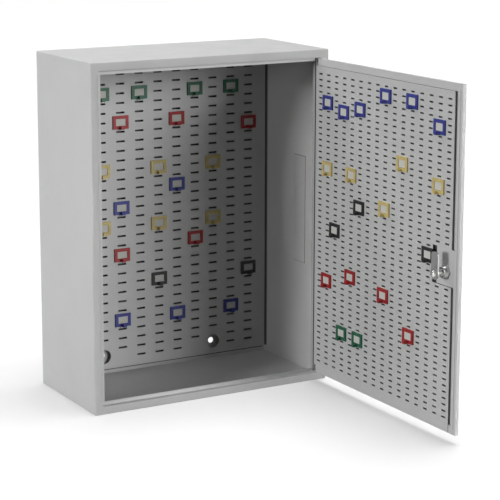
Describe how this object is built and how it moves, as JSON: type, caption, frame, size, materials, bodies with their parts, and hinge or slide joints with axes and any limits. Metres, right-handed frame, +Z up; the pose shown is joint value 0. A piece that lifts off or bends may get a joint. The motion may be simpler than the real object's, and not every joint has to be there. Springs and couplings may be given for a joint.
{
  "type": "key cabinet",
  "caption": "Wall-mounted steel key cabinet with a pin-hung inset door, slotted key panels in the case and on the door, clip-in coloured key hooks and a cam lock.",
  "frame": {"origin": "middle of the case's base, on the plane that the case stands on", "axes": "+Z up, the case front faces -Y, +X to the viewer's right; the door is stored open at 90 degrees, hinged on the +X side"},
  "size_m": [0.422, 0.5904, 0.55],
  "materials": {
    "case_paint": "fine satin powder coat, light grey",
    "panel_paint": "fine satin powder coat, light grey",
    "pin_steel": "drawn steel",
    "bush_nylon": "moulded nylon",
    "label_card": "matt card",
    "hook_green": "moulded",
    "hook_red": "moulded",
    "hook_yellow": "moulded",
    "hook_blue": "moulded",
    "hook_black": "moulded",
    "cam_steel": "zinc plated",
    "lock_chrome": "nickel plated"
  },
  "bodies": {
    "case": {"left_side": "case_paint", "right_side": "case_paint", "top_panel": "case_paint", "bottom_panel": "case_paint", "back_wall": "case_paint", "frame_left": "case_paint", "frame_right": "case_paint", "frame_top": "case_paint", "frame_bottom": "case_paint", "stop_left": "case_paint", "stop_top": "case_paint", "stop_bottom": "case_paint", "stop_hinge": "case_paint", "back_key_panel": "panel_paint", "panel_rail_top": "panel_paint", "panel_rail_bottom": "panel_paint", "side_plate": "case_paint", "hinge_pin_top": "pin_steel", "hinge_pin_bottom": "pin_steel", "back_hooks_green": "hook_green", "back_hooks_red": "hook_red", "back_hooks_yellow": "hook_yellow", "back_hooks_blue": "hook_blue", "back_hooks_black": "hook_black", "back_labels": "label_card"},
    "door": {"door_shell": "case_paint", "door_stiffeners": "case_paint", "door_key_panel": "panel_paint", "lock_plate": "panel_paint", "hinge_bush_top": "bush_nylon", "hinge_bush_bottom": "bush_nylon", "door_hooks_green": "hook_green", "door_hooks_red": "hook_red", "door_hooks_yellow": "hook_yellow", "door_hooks_blue": "hook_blue", "door_hooks_black": "hook_black", "door_labels": "label_card", "lock_housing": "lock_chrome", "lock_nut": "lock_chrome"},
    "lock_cylinder": {"lock_plug": "lock_chrome", "lock_cam": "cam_steel", "cam_washer": "cam_steel", "cam_screw": "cam_steel"}
  },
  "joints": [
    {"name": "door_hinge", "type": "hinge", "parent": "case", "child": "door", "pos_m": [0.1939, -0.0982, 0.275], "axis": [0, 0, 1], "range_deg": [-90, 2]},
    {"name": "lock_turn", "type": "hinge", "parent": "door", "child": "lock_cylinder", "pos_m": [0.1872, -0.4581, 0.2565], "axis": [1, 0, 0], "range_deg": [0, 90]}
  ]
}
